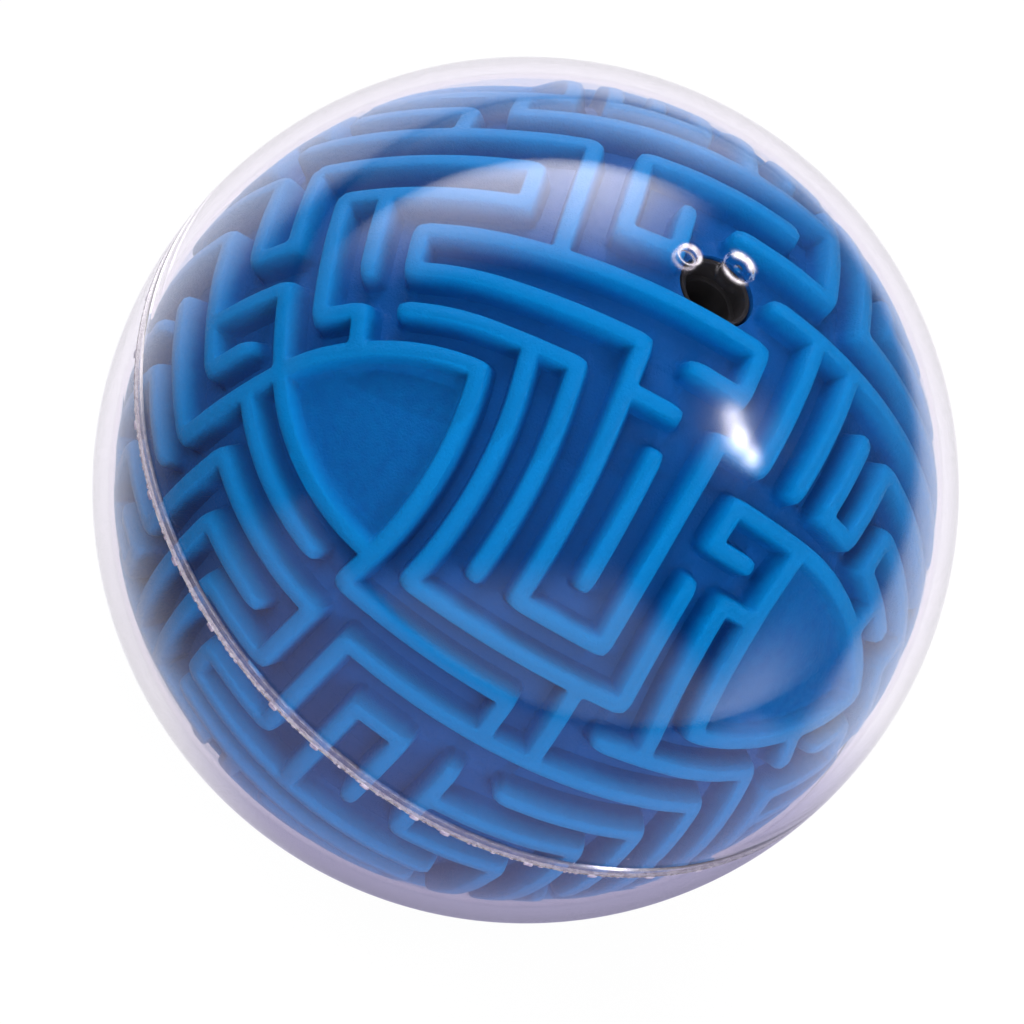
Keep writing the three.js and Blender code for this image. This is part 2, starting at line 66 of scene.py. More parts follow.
MM = 0.001
SHELL_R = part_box("shell_upper")[1].z
CASE = "case"
BALL = "ball"

# ------------------------------------------------------------------ driving dimensions

# Maze ball.
WALL_TOP_R = 47.5 * MM
FLOOR_R = 44.5 * MM
ISLAND_R = 45.7 * MM
MAZE_INNER_R = 41.6 * MM
# A wall is level to LEVEL_HALF from its centre line and has come down to the floor at FOOT_HALF.
LEVEL_HALF = 0.78 * MM
FOOT_HALF = 1.6 * MM
MEASURE_R = 46.2 * MM
PARTING_HALF_GAP = 0.02 * MM

# Clear shell.
SHELL_THICKNESS = 1.8 * MM
PLASTIC_IOR = 1.49
TONGUE_OUTER_R = 49.0 * MM
TONGUE_TOP_Z = 0.68 * MM
REBATE_R = 49.2 * MM
REBATE_TOP_Z = 0.88 * MM
SEAM_HALF_GAP = 0.1 * MM
# Frost is kept to the level faces of the step: its upright faces are clear from CORNER on.
CORNER = 0.08 * MM
# Height of a fine line of flash on the tongue.
FLASH_Z = 0.36 * MM
STEP_FROST = 0.05
LEVEL_FROST = 0.3

# Gate mark at both poles: a round dimple with a low nub and two crescents of painted highlight on its rim.
GATE_R = 2.15 * MM
GATE_DEPTH = 0.3 * MM
GATE_NUB_R = 0.65 * MM
GATE_NUB_SHARE = 0.6
GATE_RIM_R = 0.84 * GATE_R
GATE_RIM_WIDTH = 0.34 * MM
# Painted highlight at the crescents' gaps and middles, held to 0 and 1, and the direction of one middle.
CRESCENT_HIGHLIGHT = (-0.35, 1.5)
CRESCENT_TURN = math.radians(-15)

# Pip beside the upper gate: a smaller dimple, which swells the inside of the wall a little.
PIP_CENTRE = (1.7 * MM, -5.8 * MM)
PIP_R = 1.45 * MM
PIP_DEPTH = 0.35 * MM
PIP_INSIDE_SHARE = 0.4
PIP_RIM_R = 0.86 * PIP_R
PIP_RIM_WIDTH = 0.2 * MM
# Painted highlight of its rim outside and inside.
PIP_RIM_HIGHLIGHT = (0.8, 0.3)

# Share of a dimple's radius that is flat.
DIMPLE_FLAT_SHARE = 0.72

# The fine mesh of the shell: how far it reaches round the poles and beside the seam, and its usual rings.
SHELL_SEGMENTS = 320
POLE_REACH = 9 * MM
SEAM_REACH = 3 * MM
MIDDLE_RINGS = 50

# Weld beads. The power squares them up: 1 is round, towards 0 is a box.
BEAD_BOXINESS = 0.6
BEAD_HALF_WIDTHS = (0.18 * MM, 0.34 * MM)
BEAD_HALF_HEIGHTS = (0.11 * MM, 0.2 * MM)
BEAD_GAPS = (0.15 * MM, 0.3 * MM, 0.5 * MM, 1.8 * MM)
BEAD_DEPTH = 0.35 * MM
BEAD_HALF_DEPTH = 0.16 * MM
BLOB_HALF_WIDTH = 0.6 * MM
BLOB_HALF_HEIGHT = 0.34 * MM
BLOB_SPACINGS = (6 * MM, 10 * MM)

# Cups, and the heights between which the maze is drilled for them.
CUP_HOLE_R = 4.6 * MM
DRILL_HEIGHTS = (30 * MM, 60 * MM)

# Segments round the turned pieces, and points from pole to pole of the round ones.
TURNED_SEGMENTS = 96
MAZE_INNER_POINTS = 49
STEEL_SEGMENTS, STEEL_POINTS = 64, 33
BEAD_SEGMENTS, BEAD_POINTS = 12, 9

# Edges that turn by more than this many degrees look sharp.
MAZE_SHARP, SHELL_SHARP, CUP_SHARP = (math.radians(a) for a in (50, 35, 40))

# ------------------------------------------------------------------ maze lattice

# The lattice is drawn on a cube with rounded edges, half size 1, and thrown outwards onto the sphere.
# Each flat face is 8 cells square and each rounded edge is 5 cells round. A patch is a face with half
# of every edge round it.
HALF_FACE = 4
EDGE_CELLS = 5
CELL = (math.pi / 2) / (EDGE_CELLS + HALF_FACE * math.pi / 2)
FLAT = HALF_FACE * CELL
ROUND = 1 - FLAT
PATCH_HALF = HALF_FACE + EDGE_CELLS / 2
PARTING_LINE_LIFT = 0.18
# Distances of the fine mesh's rows from each lattice line, and the usual size of a cell.
ROW_OFFSETS = [d * MM for d in (0, 0.65, 0.88, 1.05, 1.2, 1.38, 1.62)]
USUAL_CELL = 5.4 * MM
SMOOTHING_ROUNDS = 3

X, Y, Z = np.eye(3)
# Face normal, first direction, second direction. The second one is Z on the four sides.
PATCHES = [(X, Y, Z), (-X, -Y, Z), (Y, -X, Z), (-Y, X, Z), (Z, X, Y), (-Z, -X, Y)]


def patch_directions(patch, a, b):
    """Unit directions of the lattice places (a, b) of a patch, in cells from the middle of its face."""
    normal, first, second = patch

    def split(t):
        over = np.maximum(np.abs(t) - HALF_FACE, 0)
        lean = np.tan(over / EDGE_CELLS * math.pi / 2) * np.sign(t)
        return np.clip(t, -HALF_FACE, HALF_FACE) * CELL, lean

    core_a, lean_a = split(a)
    core_b, lean_b = split(b)
    bend = ROUND / np.sqrt(1 + lean_a**2 + lean_b**2)
    point = (
        np.multiply.outer(core_a + bend * lean_a, first)
        + np.multiply.outer(core_b + bend * lean_b, second)
        + np.multiply.outer(FLAT + bend, normal)
    )
    return point / np.linalg.norm(point, axis=-1, keepdims=True)


def line_places(lifted):
    """The lattice lines of a patch. The line in the parting plane is lifted into the upper half."""
    lines = np.arange(-math.floor(PATCH_HALF), math.floor(PATCH_HALF) + 1).astype(float)
    if lifted:
        lines[lines == 0] = PARTING_LINE_LIFT
    return lines


def row_places(lines, scale):
    """Places of the fine rows, at fixed distances beside each line. Scale is metres per cell there."""
    places = [np.full(np.shape(scale)[1:], -PATCH_HALF)]
    for line, metres_per_cell in zip(lines, scale):
        for offset in ROW_OFFSETS[:0:-1]:
            places.append(line - offset / metres_per_cell)
        for offset in ROW_OFFSETS:
            places.append(line + offset / metres_per_cell)
    places.append(np.full(np.shape(scale)[1:], PATCH_HALF))
    return np.array(places)


def patch_places(patch):
    """Two grids (a, b) of the fine mesh's places in one patch."""
    step = 1e-4
    lines_a = line_places(False)
    lines_b = line_places(patch[2] is Z)
    usual = np.full((len(lines_a), 1), USUAL_CELL)
    rows_a = row_places(lines_a, usual)[:, 0]
    rows_b = row_places(lines_b, usual)[:, 0]

    def scale(a, b, step_a, step_b):
        after = patch_directions(patch, a + step_a, b + step_b)
        before = patch_directions(patch, a - step_a, b - step_b)
        return np.linalg.norm(after - before, axis=-1) / (2 * step) * MEASURE_R

    a_line, b_row = np.meshgrid(lines_a, rows_b, indexing="ij")
    places_a = row_places(lines_a, scale(a_line, b_row, step, 0))
    b_line, a_row = np.meshgrid(lines_b, rows_a, indexing="ij")
    places_b = row_places(lines_b, scale(a_row, b_line, 0, step)).T
    return places_a, places_b


def cad_tree(*nodes):
    """One search tree of several CAD nodes."""
    points, faces = [], []
    for node in nodes:
        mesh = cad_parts[node].data
        faces += [[v + len(points) for v in face.vertices] for face in mesh.polygons]
        points += [v.co.copy() for v in mesh.vertices]
    return BVHTree.FromPolygons(points, faces)


def height_over(tree, direction):
    """Radius at which a line from outside to the centre meets the tree."""
    outwards = Vector(direction)
    hit = tree.ray_cast(outwards * SHELL_R, -outwards)[0]
    return hit.length if hit else 0.0


def wall_ribbons():
    """Upright sheets along the centre lines of all the walls that the CAD maze has."""
    tree = cad_tree("maze_upper", "maze_lower")
    wall_from_r = (WALL_TOP_R + ISLAND_R) / 2
    samples = np.linspace(0, 1, 6)
    points, faces = [], []

    def try_wall(patch, start, end):
        a = start[0] + (end[0] - start[0]) * samples
        b = start[1] + (end[1] - start[1]) * samples
        directions = patch_directions(patch, a, b)
        heights = [height_over(tree, directions[i]) for i in range(1, len(samples) - 1)]
        if min(heights) < wall_from_r:
            return
        first = len(points)
        for direction in directions:
            points.append(Vector(direction * MAZE_INNER_R))
            points.append(Vector(direction * SHELL_R))
        for i in range(len(samples) - 1):
            low = first + 2 * i
            faces.append([low, low + 2, low + 3, low + 1])

    for patch in PATCHES:
        lines_a = line_places(False)
        lines_b = line_places(patch[2] is Z)
        for lines, others, swap in ((lines_b, lines_a, False), (lines_a, lines_b, True)):
            stops = [-PATCH_HALF, *others, PATCH_HALF]
            for line in lines:
                for low, high in zip(stops[:-1], stops[1:]):
                    on_edge_strip = max(abs(low), abs(high)) > HALF_FACE
                    if abs(line) > HALF_FACE and on_edge_strip:
                        continue
                    start, end = ((line, low), (line, high)) if swap else ((low, line), (high, line))
                    try_wall(patch, start, end)
    return BVHTree.FromPolygons(points, faces)


def smooth_fall(distance, start, end):
    """1 up to start, 0 from end on, with a smooth fall between."""
    t = np.clip((distance - start) / (end - start), 0, 1)
    return 1 - t * t * t * (t * (6 * t - 15) + 10)


def grid_faces(rows, columns, first):
    """Quads of a grid of rows x columns points, numbered from first."""
    low = first + np.arange(rows - 1)[:, None] * columns + np.arange(columns - 1)[None, :]
    return np.stack([low, low + columns, low + columns + 1, low + 1], axis=-1).reshape(-1, 4)


def smooth_values(values, faces, rounds):
    """Evens out a value over the mesh: each vertex moves half of the way to the mean of its neighbours."""
    ends = np.concatenate([faces[:, [0, 1]], faces[:, [1, 2]], faces[:, [2, 3]], faces[:, [3, 0]]])
    size = len(values)
    neighbours = np.bincount(ends.ravel(), minlength=size)
    for _ in range(rounds):
        total = np.bincount(ends[:, 0], values[ends[:, 1]], size)
        total += np.bincount(ends[:, 1], values[ends[:, 0]], size)
        values = (values + total / neighbours) / 2
    return values


def maze_surface():
    """Points and quads of the whole maze's outer surface."""
    ribbons = wall_ribbons()
    directions, faces, islands = [], [], []
    count = 0
    for patch in PATCHES:
        a, b = patch_places(patch)
        directions.append(patch_directions(patch, a, b).reshape(-1, 3))
        islands.append((np.minimum(np.abs(a), np.abs(b)) > HALF_FACE).ravel())
        faces.append(grid_faces(a.shape[0], a.shape[1], count))
        count += a.size
    directions, faces, islands = np.concatenate(directions), np.concatenate(faces), np.concatenate(islands)

    merged, first_use, renumber = np.unique(
        np.round(directions / 1e-6).astype(np.int64), axis=0, return_index=True, return_inverse=True
    )
    directions, islands = directions[first_use], islands[first_use]
    faces = renumber.reshape(-1)[faces]

    distance = np.array([ribbons.find_nearest(Vector(p))[3] for p in directions * MEASURE_R])
    wall = smooth_fall(distance, LEVEL_HALF, FOOT_HALF)
    wall = smooth_values(wall, faces, SMOOTHING_ROUNDS)
    ground = np.where(islands, ISLAND_R, FLOOR_R)
    radius = ground + (WALL_TOP_R - ground) * wall
    return directions * radius[:, None], faces


# ------------------------------------------------------------------ mesh helpers


def make_object(name, points, faces, material=None, smooth=True):
    mesh = bpy.data.meshes.new(name)
    mesh.from_pydata([tuple(p) for p in points], [], [tuple(f) for f in faces])
    mesh.validate()
    if smooth:
        mesh.shade_smooth()
    piece = bpy.data.objects.new(name, mesh)
    bpy.context.scene.collection.objects.link(piece)
    if material:
        mesh.materials.append(material)
    return piece


def revolve(profile, segments, closed=False):
    """Points and faces of a profile (radius, z) turned about Z. An end on the axis becomes one point."""
    profile = np.array(profile, float)
    angles = np.arange(segments) * 2 * math.pi / segments
    points, rings = [], []
    for radius, z in profile:
        if radius < 1e-9:
            rings.append([len(points)])
            points.append((0, 0, z))
        else:
            rings.append(list(range(len(points), len(points) + segments)))
            points += [(radius * math.cos(t), radius * math.sin(t), z) for t in angles]
    pairs = list(zip(rings[:-1], rings[1:]))
    if closed:
        pairs.append((rings[-1], rings[0]))
    faces = []
    for low, high in pairs:
        for i in range(segments):
            j = (i + 1) % segments
            if len(low) == 1:
                faces.append((low[0], high[i], high[j]))
            elif len(high) == 1:
                faces.append((low[i], high[0], low[j]))
            else:
                faces.append((low[i], high[i], high[j], low[j]))
    return np.array(points), faces


def outward(piece):
    """Turns a closed piece's faces outwards."""
    work = bmesh.new()
    work.from_mesh(piece.data)
    bmesh.ops.recalc_face_normals(work, faces=work.faces)
    if work.calc_volume(signed=True) < 0:
        bmesh.ops.reverse_faces(work, faces=work.faces)
    work.to_mesh(piece.data)
    work.free()


def apply_modifiers(piece):
    graph = bpy.context.evaluated_depsgraph_get()
    evaluated = piece.evaluated_get(graph)
    mesh = bpy.data.meshes.new_from_object(evaluated)
    piece.modifiers.clear()
    piece.data = mesh


def cut(piece, cutter, operation):
    modifier = piece.modifiers.new("cut", "BOOLEAN")
    modifier.operation = operation
    modifier.solver = "MANIFOLD"
    modifier.object = cutter
    apply_modifiers(piece)


def remove(*pieces):
    for piece in pieces:
        bpy.data.objects.remove(piece)


def dress(piece, material, body, slot, *nodes):
    """Material, body and the CAD nodes that the piece stands for. The record slot is not used."""
    piece.data.materials.clear()
    piece.data.materials.append(material)
    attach(piece, body)
    if nodes:
        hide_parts(*nodes)


# ------------------------------------------------------------------ materials


class Nodes:
    """A short way to write a node tree."""

    def __init__(self, name, world=False):
        self.owner = bpy.data.worlds.new(name) if world else bpy.data.materials.new(name)
        self.owner.use_nodes = True
        self.tree = self.owner.node_tree
        self.tree.nodes.clear()
        self.output = self.tree.nodes.new("ShaderNodeOutputWorld" if world else "ShaderNodeOutputMaterial")

    def add(self, kind, settings=None, **inputs):
        node = self.tree.nodes.new("ShaderNode" + kind)
        for key, value in (settings or {}).items():
            setattr(node, key, value)
        for key, value in inputs.items():
            self.put(node, key.replace("_", " "), value)
        return node

    def put(self, node, key, value):
        socket = node.inputs[int(key[1:])] if key[0] == "i" and key[1:].isdigit() else node.inputs[key]
        if isinstance(value, bpy.types.NodeSocket):
            self.tree.links.new(value, socket)
        else:
            socket.default_value = value

    def math(self, operation, a, b=0.0, clamp=False):
        node = self.add("Math", {"operation": operation, "use_clamp": clamp}, i0=a, i1=b)
        return node.outputs[0]

    def fade(self, value, start, end, low=0.0, high=1.0, settings=None):
        """Low up to start, high from end on and an even change between. Start may be past end."""
        limits = {"From_Min": start, "From_Max": end, "To_Min": low, "To_Max": high}
        return self.add("MapRange", settings, Value=value, **limits).outputs["Result"]

    def window(self, value, start, end, low=0.0, high=1.0):
        """The same with a smooth change between."""
        return self.fade(value, start, end, low, high, {"interpolation_type": "SMOOTHSTEP"})

    def blend(self, share, low, high):
        """The number that is the given share of the way from low to high."""
        return self.add("Mix", {"data_type": "FLOAT"}, i0=share, i2=low, i3=high).outputs[0]

    def along(self, place, axis):
        """How far a place or a direction goes along an axis."""
        node = self.add("VectorMath", {"operation": "DOT_PRODUCT"}, i0=place, i1=tuple(axis))
        return node.outputs["Value"]

    def ramp(self, value, stops):
        node = self.add("ValToRGB", i0=value)
        elements = node.color_ramp.elements
        while len(elements) < len(stops):
            elements.new(0.5)
        for element, (place, colour) in zip(elements, stops):
            element.position = place
            element.color = (*colour, 1) if len(colour) == 3 else colour
        return node.outputs["Color"]

    def finish(self, shader):
        self.tree.links.new(shader, self.output.inputs["Surface"])
        return self.owner


def blue_plastic():
    """Moulded blue plastic with a fine satin grain. Painted shade makes the channels darker than the tops
    of the walls.
    """
    n = Nodes("blue_plastic")
    place = n.add("TexCoord").outputs["Object"]
    length = n.add("VectorMath", {"operation": "LENGTH"}, i0=place).outputs["Value"]
    # Painted shade: the colour darkens with depth, from the tops of the walls down to the channel floors,
    # with a random mottle.
    height = n.fade(length, FLOOR_R, WALL_TOP_R)
    mottle = n.add("TexNoise", Vector=place, Scale=900.0, Detail=4.0).outputs["Fac"]
    channel_shade_and_mottle = n.math("ADD", height, n.math("MULTIPLY", n.math("SUBTRACT", mottle, 0.5), 0.3), clamp=True)
    colour = n.ramp(
        channel_shade_and_mottle,
        [
            (0.0, (0.003, 0.075, 0.27)),
            (0.3, (0.001, 0.09, 0.31)),
            (0.7, (0.0, 0.17, 0.45)),
            (1.0, (0.0, 0.205, 0.52)),
        ],
    )
    grain = n.add("TexNoise", Vector=place, Scale=3800.0, Detail=2.0).outputs["Fac"]
    bump = n.add("Bump", Height=grain, Strength=0.7, Distance=0.00014)
    rough = n.fade(grain, 0.35, 0.65, 0.6, 0.34)
    shader = n.add(
        "BsdfPrincipled",
        Base_Color=colour,
        Roughness=rough,
        IOR=1.3,
        Normal=bump.outputs["Normal"],
    )
    return n.finish(shader.outputs[0])


def black_plastic():
    n = Nodes("black_plastic")
    place = n.add("TexCoord").outputs["Object"]
    grain = n.add("TexNoise", Vector=place, Scale=3000.0, Detail=3.0).outputs["Fac"]
    cloud = n.add("TexNoise", Vector=place, Scale=300.0, Detail=2.0).outputs["Fac"]
    colour = n.ramp(cloud, [(0.3, (0.013, 0.013, 0.013)), (0.7, (0.024, 0.023, 0.023))])
    bump = n.add("Bump", Height=grain, Strength=0.3, Distance=0.00005)
    shader = n.add(
        "BsdfPrincipled",
        Base_Color=colour,
        Roughness=0.65,
        IOR=1.3,
        Normal=bump.outputs["Normal"],
    )
    return n.finish(shader.outputs[0])


def polished_steel():
    n = Nodes("polished_steel")
    place = n.add("TexCoord").outputs["Object"]
    smear = n.add("TexNoise", Vector=place, Scale=900.0, Detail=4.0).outputs["Fac"]
    colour = n.ramp(smear, [(0.3, (0.56, 0.57, 0.59)), (0.7, (0.68, 0.69, 0.71))])
    rough = n.fade(smear, 0.0, 1.0, 0.06, 0.2)
    shader = n.add("BsdfPrincipled", Base_Color=colour, Metallic=1.0, Roughness=rough)
    return n.finish(shader.outputs[0])


def clear_plastic():
    """Clear plastic that bends what is seen through it and lets lamps through. Frost and painted highlights
    are milky.
    """
    n = Nodes("clear_plastic")
    place = n.add("TexCoord").outputs["Object"]
    bent = n.add("BsdfRefraction", Color=(0.97, 0.955, 0.98, 1), Roughness=0.0, IOR=PLASTIC_IOR)
    satin = n.add("TexNoise", Vector=place, Scale=5200.0, Detail=1.0).outputs["Fac"]
    satin_bump = n.add("Bump", Height=satin, Strength=1.0, Distance=0.0000025).outputs["Normal"]
    mirror = n.add("BsdfGlossy", Color=(1, 1, 1, 1), Roughness=0.035, Normal=satin_bump)
    share = n.add("Fresnel", IOR=PLASTIC_IOR).outputs[0]
    clear = n.add("MixShader", i0=share, i1=bent.outputs[0], i2=mirror.outputs[0])
    # The attribute holds the frost of the seam's step and the painted highlights on the rims of the gate
    # and the pip.
    frost_and_rim_highlight = n.add("Attribute", {"attribute_name": "frost_and_rim_highlight"}).outputs["Fac"]
    speck = n.add("TexNoise", Vector=place, Scale=1400.0, Detail=3.0).outputs["Fac"]
    frost_and_highlight_colour = n.ramp(speck, [(0.35, (0.55, 0.47, 0.56)), (0.6, (0.95, 0.9, 0.95))])
    milk = n.add("BsdfPrincipled", Base_Color=frost_and_highlight_colour, Roughness=0.3, IOR=PLASTIC_IOR)
    both = n.add("MixShader", i0=frost_and_rim_highlight, i1=clear.outputs[0], i2=milk.outputs[0])
    lamps_through = n.add("BsdfTransparent", Color=(0.97, 0.96, 0.98, 1))
    shadow = n.add("LightPath").outputs["Is Shadow Ray"]
    whole = n.add("MixShader", i0=shadow, i1=both.outputs[0], i2=lamps_through.outputs[0])
    return n.finish(whole.outputs[0])


def weld_plastic():
    """Clouded plastic of the weld beads: pale and faintly pink, with a gloss."""
    n = Nodes("weld_plastic")
    place = n.add("TexCoord").outputs["Object"]
    speck = n.add("TexNoise", Vector=place, Scale=1800.0, Detail=3.0).outputs["Fac"]
    colour = n.ramp(speck, [(0.35, (0.3, 0.25, 0.38)), (0.65, (0.72, 0.66, 0.76))])
    shader = n.add("BsdfPrincipled", Base_Color=colour, Roughness=0.35, IOR=PLASTIC_IOR)
    return n.finish(shader.outputs[0])


def white_floor():
    """Lit from below, as a light table is, so that the object throws hardly any shadow.

    What the clear plastic mirrors and bends has a brightness of its own: full behind the ball, less in the
    ball's own shade and far off. Each window below fades between two places, given in metres.
    """
    n = Nodes("white_floor")
    place = n.add("TexCoord").outputs["Object"]
    mottle = n.add("TexNoise", Vector=place, Scale=6.0, Detail=2.0).outputs["Fac"]
    colour = n.ramp(mottle, [(0.3, (0.93, 0.93, 0.93)), (0.7, (0.96, 0.96, 0.96))])
    paper = n.add("BsdfDiffuse", Color=colour, Roughness=0.9)
    glow = n.add("Emission", Color=(1, 1, 1, 1), Strength=1.0)
    seen_whole = n.add("MixShader", i0=0.96, i1=paper.outputs[0], i2=glow.outputs[0])

    # Places on the table: how far from the ball, towards the camera and towards the picture's lower edge.
    reach = n.add("VectorMath", {"operation": "LENGTH"}, i0=place).outputs["Value"]
    towards = n.along(place, Vector((TO_CAMERA.x, TO_CAMERA.y, 0)).normalized())
    below = n.along(place, Vector((-CAMERA_TOP.x, -CAMERA_TOP.y, 0)).normalized())

    away = n.math("ADD", reach, n.math("MULTIPLY", towards, 2.0))
    open_table = n.window(away, 0.08, 0.27, TABLE_RADIANCE, 0.1)
    own_shade = n.window(reach, 0.06, 0.2, BAND_TABLE_RADIANCE, NEAR_TABLE_RADIANCE)
    in_shade = n.math("MULTIPLY", n.window(below, 0.006, 0.034), n.window(towards, -0.08, -0.015))
    behind = n.blend(in_shade, open_table, own_shade)
    before = n.window(below, -0.02, 0.05, 0.08, 0.66)
    before = n.math("MULTIPLY", before, n.window(reach, 0.15, 0.3, 1.0, 0.78))
    strength = n.blend(n.window(towards, 0.05, 0.13), behind, before)
    strength = n.math("MULTIPLY", strength, n.window(reach, 0.25, 2.5, 1.0, 0.15))
    tint = n.add("MixRGB", i0=in_shade, i1=(0.97, 0.95, 1, 1), i2=(0.74, 0.7, 1, 1)).outputs[0]
    mirrored = n.add("Emission", Color=tint, Strength=strength)

    seen = n.add("LightPath").outputs["Is Camera Ray"]
    both = n.add("MixShader", i0=seen, i1=mirrored.outputs[0], i2=seen_whole.outputs[0])
    return n.finish(both.outputs[0])


# ------------------------------------------------------------------ pieces


def arc(radius, angles):
    """Points (r, z) of an arc at angles above the equator. A pole is put exactly on the axis."""
    flat = np.where(np.abs(angles) < math.pi / 2 - 1e-9, np.cos(angles), 0.0)
    return [(radius * r, radius * math.sin(t)) for r, t in zip(flat, angles)]


def ball_profile(radius, count):
    """Points (r, z) of a half circle from the lower pole to the upper one."""
    return arc(radius, np.linspace(-math.pi / 2, math.pi / 2, count))


def maze(blue):
    points, faces = maze_surface()
    inner, inner_faces = revolve(ball_profile(MAZE_INNER_R, MAZE_INNER_POINTS), TURNED_SEGMENTS)
    inner_faces = [tuple(v + len(points) for v in face) for face in inner_faces]
    solid = make_object("maze_solid", np.concatenate([points, inner]), [*faces, *inner_faces])

    low, high = DRILL_HEIGHTS
    drill_profile = [(0, low), (CUP_HOLE_R, low), (CUP_HOLE_R, high), (0, high)]
    for name, side in (("maze_upper", 1), ("maze_lower", -1)):
        half = make_object(name + "_fine", *mesh_data(solid))
        block = make_object("block", *box_data(side))
        drill_points, drill_faces = revolve(drill_profile, TURNED_SEGMENTS)
        drill = make_object("drill", drill_points * (1, 1, side), drill_faces)
        outward(block)
        outward(drill)
        cut(half, block, "INTERSECT")
        cut(half, drill, "DIFFERENCE")
        remove(block, drill)
        dress(half, blue, CASE, "blue_plastic", name)
        half.data.shade_smooth()
        half.data.set_sharp_from_angle(angle=MAZE_SHARP)
    remove(solid)


def mesh_data(piece):
    mesh = piece.data
    return [v.co.copy() for v in mesh.vertices], [tuple(f.vertices) for f in mesh.polygons]


def box_data(side):
    reach = 0.06
    low, high = sorted((PARTING_HALF_GAP * side, reach * side))
    points = [(x, y, z) for x in (-reach, reach) for y in (-reach, reach) for z in (low, high)]
    faces = [(0, 1, 3, 2), (4, 6, 7, 5), (0, 4, 5, 1), (2, 3, 7, 6), (0, 2, 6, 4), (1, 5, 7, 3)]
    return points, faces


def dimple(distance, radius, depth):
    """Depth of a round dimple with a flat floor and a rounded rim."""
    return depth * smooth_fall(distance, radius * DIMPLE_FLAT_SHARE, radius)


def rim_highlight(distance, radius, width):
    """Painted highlight in a ring of the given radius, 1 on its middle line and fading over the width."""
    return np.exp(-(((distance - radius) / width) ** 2))


def crescents(points):
    """Painted highlight of the gate's rim by direction: two thick crescents with clear gaps between them.
    """
    turn = np.arctan2(points[:, 1], points[:, 0])
    low, high = CRESCENT_HIGHLIGHT
    return np.clip(low + (high - low) * np.cos(turn - CRESCENT_TURN) ** 2, 0, 1)


def pole_angles(radius, rings):
    """Angles above the equator of fine rings, from the edge of the fine mesh round a pole to the pole."""
    return math.pi / 2 - np.linspace(POLE_REACH, 0.0, rings)[1:] / radius


def shell_outer_angles():
    """Angles above the equator for the outer surface: fine rings near the seam and near the pole."""
    near_seam = np.linspace(SEAM_HALF_GAP / SHELL_R, SEAM_REACH / SHELL_R, 14)
    near_seam = np.insert(near_seam, 1, near_seam[0] + CORNER / SHELL_R)
    middle = np.linspace(SEAM_REACH / SHELL_R, math.pi / 2 - POLE_REACH / SHELL_R, MIDDLE_RINGS)[1:]
    return np.concatenate([near_seam, middle, pole_angles(SHELL_R, 80)])


def shell(clear):
    """Both halves are drawn as upper ones, from the inside pole round the step to the outside pole."""
    inner_r = SHELL_R - SHELL_THICKNESS
    outer = arc(SHELL_R, shell_outer_angles())
    step_top = math.asin(REBATE_TOP_Z / inner_r)
    middle = np.linspace(step_top, math.pi / 2 - POLE_REACH / inner_r, MIDDLE_RINGS)[1:]
    inner = arc(inner_r, np.concatenate([middle, pole_angles(inner_r, 60)]))

    # Upper half: the outer surface, then the step that laps over the tongue, then the inner surface.
    rebate = [
        (math.sqrt(inner_r**2 - REBATE_TOP_Z**2), REBATE_TOP_Z),
        (REBATE_R, REBATE_TOP_Z),
        (REBATE_R, REBATE_TOP_Z - CORNER),
        (REBATE_R, SEAM_HALF_GAP + CORNER),
        (REBATE_R, SEAM_HALF_GAP),
    ]
    make_shell_half("shell_upper", [*inner[::-1], *rebate, *outer], 1, clear)

    # Lower half: the same outwards, with the tongue standing up inside the step.
    tongue = [
        (math.sqrt(inner_r**2 - TONGUE_TOP_Z**2), -TONGUE_TOP_Z),
        (TONGUE_OUTER_R, -TONGUE_TOP_Z),
        (TONGUE_OUTER_R, CORNER - TONGUE_TOP_Z),
        (TONGUE_OUTER_R, -FLASH_Z - CORNER / 2),
        (TONGUE_OUTER_R, -FLASH_Z),
        (TONGUE_OUTER_R, CORNER / 2 - FLASH_Z),
        (TONGUE_OUTER_R, SEAM_HALF_GAP - CORNER),
        (TONGUE_OUTER_R, SEAM_HALF_GAP),
    ]
    tongue_inner = arc(inner_r, np.linspace(-math.asin(TONGUE_TOP_Z / inner_r), step_top, 6)[1:])
    make_shell_half("shell_lower", [*inner[::-1], *tongue_inner[::-1], *tongue, *outer], -1, clear)


